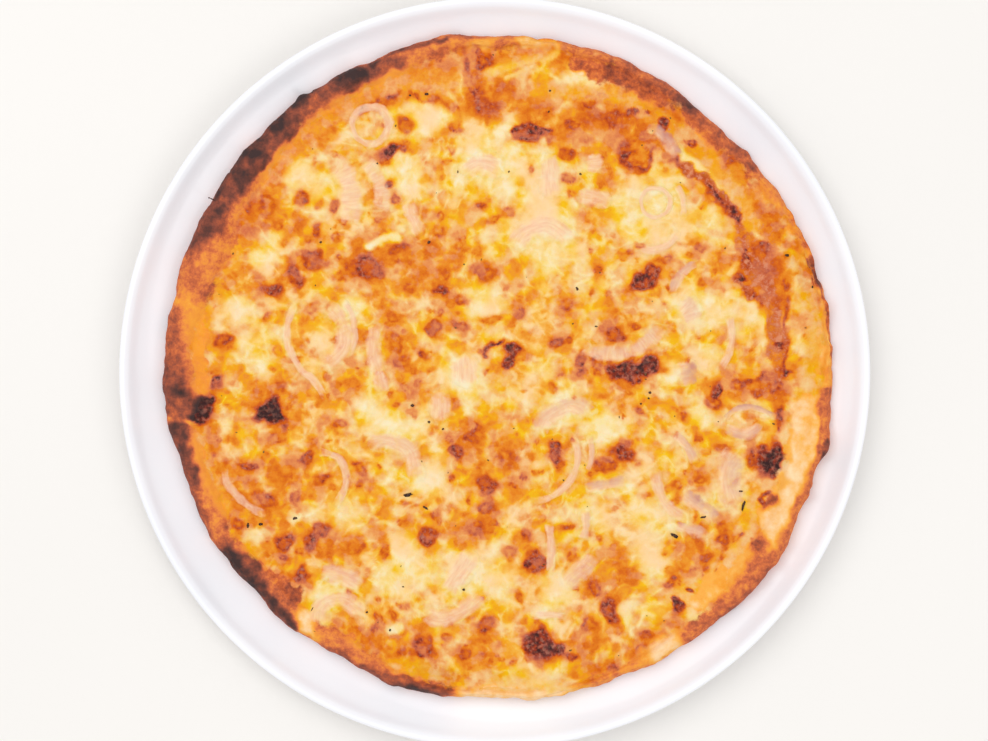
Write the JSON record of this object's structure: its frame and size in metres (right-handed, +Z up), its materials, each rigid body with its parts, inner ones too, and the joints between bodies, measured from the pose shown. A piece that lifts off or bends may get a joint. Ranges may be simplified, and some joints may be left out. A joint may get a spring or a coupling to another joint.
{
  "type": "onion pizza on plate",
  "caption": "Round onion pizza with a browned uneven rim, blistered melted cheese and soft onion slices, lying on a round white porcelain plate with a low raised lip.",
  "frame": {"origin": "centre of the plate's axis at the plane that its foot stands on", "axes": "+Z up out of the plate; +Y points to the top of the pizza as it is seen from above, +X to its right"},
  "size_m": [0.32, 0.32, 0.0204],
  "materials": {
    "porcelain": "smooth white glaze",
    "crust": "baked dough, browned and charred in places, dry and finely cracked",
    "cheese": "melted cheese, oily, with browned blisters",
    "onion": "cooked onion, soft and moist, finely ribbed"
  },
  "bodies": {
    "root": {"plate": "porcelain", "crust": "crust", "cheese": "cheese", "onion_crescent_wide_left": "onion", "onion_crescent_inner_left": "onion", "onion_sliver_upper_left": "onion", "onion_arc_top": "onion", "onion_leaf_top": "onion", "onion_strip_upper": "onion", "onion_patch_upper": "onion", "onion_arch_upper": "onion", "onion_arc_upper_right": "onion", "onion_oval_upper_right": "onion", "onion_strip_grey_top_right": "onion", "onion_big_ring_top": "onion", "onion_big_ring_left": "onion", "onion_big_ring_right": "onion", "onion_big_ring_bottom": "onion", "onion_arc_middle_right": "onion", "onion_half_ring_outer": "onion", "onion_half_ring_inner": "onion", "onion_broad_right": "onion", "onion_arc_lower_right": "onion", "onion_band_lower_right": "onion", "onion_arc_small_right": "onion", "onion_strip_lower_right": "onion", "onion_arch_middle": "onion", "onion_long_arc_middle": "onion", "onion_arc_middle_outer": "onion", "onion_strip_grey_middle": "onion", "onion_strip_lower_a": "onion", "onion_strip_lower_b": "onion", "onion_diagonal_lower": "onion", "onion_diagonal_wide": "onion", "onion_arc_bottom": "onion", "onion_strip_bottom": "onion", "onion_arc_peach_left": "onion", "onion_thin_ring_left": "onion", "onion_arc_far_left": "onion", "onion_band_lower_left": "onion", "onion_hook_lower_left": "onion", "onion_strand_left": "onion", "onion_ring_left_inner": "onion", "onion_ring_left_outer": "onion", "onion_strip_left": "onion", "onion_lump_middle": "onion", "onion_lump_lower": "onion", "onion_ring_top_left": "onion", "onion_ring_upper_right": "onion"}
  },
  "joints": []
}
